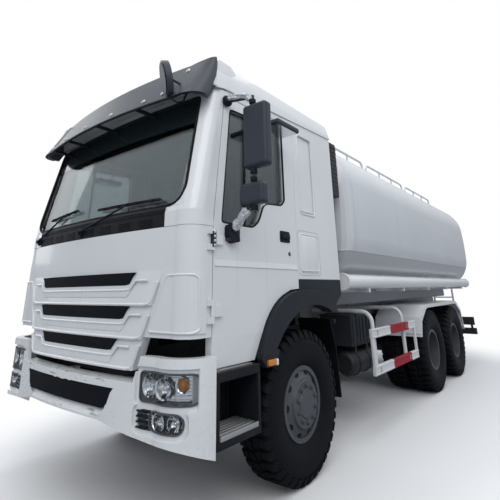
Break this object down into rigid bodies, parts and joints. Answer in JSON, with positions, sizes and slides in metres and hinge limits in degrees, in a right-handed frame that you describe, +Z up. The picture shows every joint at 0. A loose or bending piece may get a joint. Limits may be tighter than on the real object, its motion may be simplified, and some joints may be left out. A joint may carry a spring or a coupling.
{
  "type": "tanker truck",
  "caption": "Forward-control tanker truck with tilting cab, squared oval tank, top walkway with manhole lid, steered front wheels and twin-tyred tandem rear axles",
  "frame": {"origin": "on the ground under the middle of the truck's box", "axes": "+X forward, +Y to the truck's left, +Z up"},
  "size_m": [8.718, 3.16, 3.445],
  "materials": {
    "white_paint": "gloss",
    "tank_paint": "gloss",
    "grey_paint": "satin",
    "black_steel": "satin",
    "wheel_silver": "satin",
    "cast_black": "matte",
    "tyre": "matte",
    "rubber": "matte",
    "black_plastic": "matte",
    "grey_plastic": "matte",
    "seat_fabric": "matte",
    "lamp_glass": "gloss",
    "window_glass": "gloss",
    "tread_metal": "brushed"
  },
  "bodies": {
    "chassis": {"ladder_frame": "black_steel", "front_axle_beam": "black_steel", "leaf_springs": "black_steel", "rear_axles": "black_steel", "driveline": "cast_black", "tank_shell": "tank_paint", "tank_subframe": "black_steel", "hose_tubes": "tank_paint", "walkway": "tank_paint", "manhole_neck": "tank_paint", "side_guards": "white_paint", "battery_box": "black_plastic", "air_tanks": "black_steel", "fuel_tank": "black_steel", "rear_fenders": "white_paint", "rear_ladder": "tank_paint", "rear_underrun": "black_steel", "lamps": "lamp_glass", "outlet_pipe": "black_steel", "bumper": "white_paint", "step_wells": "black_plastic", "step_treads": "tread_metal", "mudflaps": "rubber"},
    "cab": {"cab_floor": "black_steel", "cab_sides": "white_paint", "cab_back": "white_paint", "cab_roof": "white_paint", "front_panel": "white_paint", "grille": "white_paint", "cowl": "black_plastic", "screen_frame": "white_paint", "windscreen": "window_glass", "sun_visor": "grey_paint", "wipers": "black_plastic", "dashboard": "grey_plastic", "seats": "seat_fabric", "wheel_arches": "black_plastic", "air_intake": "black_plastic", "look_down_mirror": "black_plastic"},
    "lid": {"manhole_lid": "tank_paint"},
    "door_left_set": {"door_left": "white_paint", "door_glass_left": "window_glass", "mirrors_left": "black_plastic"},
    "steer_left": {"knuckle_left": "black_steel"},
    "front_left_roll": {"front_tyre_left": "tyre", "front_wheel_left": "wheel_silver"},
    "mid_left_roll": {"mid_tyres_left": "tyre", "mid_wheels_left": "wheel_silver"},
    "rear_left_roll": {"rear_tyres_left": "tyre", "rear_wheels_left": "wheel_silver"},
    "door_right_set": {"door_right": "white_paint", "door_glass_right": "window_glass", "mirrors_right": "black_plastic"},
    "steer_right": {"knuckle_right": "black_steel"},
    "front_right_roll": {"front_tyre_right": "tyre", "front_wheel_right": "wheel_silver"},
    "mid_right_roll": {"mid_tyres_right": "tyre", "mid_wheels_right": "wheel_silver"},
    "rear_right_roll": {"rear_tyres_right": "tyre", "rear_wheels_right": "wheel_silver"}
  },
  "joints": [
    {"name": "cab_tilt", "type": "hinge", "parent": "chassis", "child": "cab", "pos_m": [4.16, 0, 1.155], "axis": [0, 1, 0], "range_deg": [0, 55]},
    {"name": "lid_hinge", "type": "hinge", "parent": "chassis", "child": "lid", "pos_m": [-1.346, 0, 3.3463], "axis": [0, -1, 0], "range_deg": [0, 110]},
    {"name": "door_left_hinge", "type": "hinge", "parent": "cab", "child": "door_left_set", "pos_m": [4.032, 1.214, 1.55], "axis": [0, 0, -1], "range_deg": [0, 70]},
    {"name": "steer_left_pin", "type": "hinge", "parent": "chassis", "child": "steer_left", "pos_m": [2.86, 0.86, 0.5625], "axis": [0, 0, 1], "range_deg": [-37, 37]},
    {"name": "front_left_spin", "type": "hinge", "parent": "steer_left", "child": "front_left_roll", "pos_m": [2.86, 1.011, 0.5625], "axis": [0, 1, 0], "continuous": true},
    {"name": "mid_left_spin", "type": "hinge", "parent": "chassis", "child": "mid_left_roll", "pos_m": [-0.765, 0.9145, 0.5625], "axis": [0, 1, 0], "continuous": true},
    {"name": "rear_left_spin", "type": "hinge", "parent": "chassis", "child": "rear_left_roll", "pos_m": [-2.115, 0.9145, 0.5625], "axis": [0, 1, 0], "continuous": true},
    {"name": "door_right_hinge", "type": "hinge", "parent": "cab", "child": "door_right_set", "pos_m": [4.032, -1.214, 1.55], "axis": [0, 0, 1], "range_deg": [0, 70]},
    {"name": "steer_right_pin", "type": "hinge", "parent": "chassis", "child": "steer_right", "pos_m": [2.86, -0.86, 0.5625], "axis": [0, 0, 1], "range_deg": [-37, 37]},
    {"name": "front_right_spin", "type": "hinge", "parent": "steer_right", "child": "front_right_roll", "pos_m": [2.86, -1.011, 0.5625], "axis": [0, 1, 0], "continuous": true},
    {"name": "mid_right_spin", "type": "hinge", "parent": "chassis", "child": "mid_right_roll", "pos_m": [-0.765, -0.9145, 0.5625], "axis": [0, 1, 0], "continuous": true},
    {"name": "rear_right_spin", "type": "hinge", "parent": "chassis", "child": "rear_right_roll", "pos_m": [-2.115, -0.9145, 0.5625], "axis": [0, 1, 0], "continuous": true}
  ],
  "couplings": [
    {"joint": "steer_right_pin", "follows": "steer_left_pin", "ratio": 1}
  ]
}
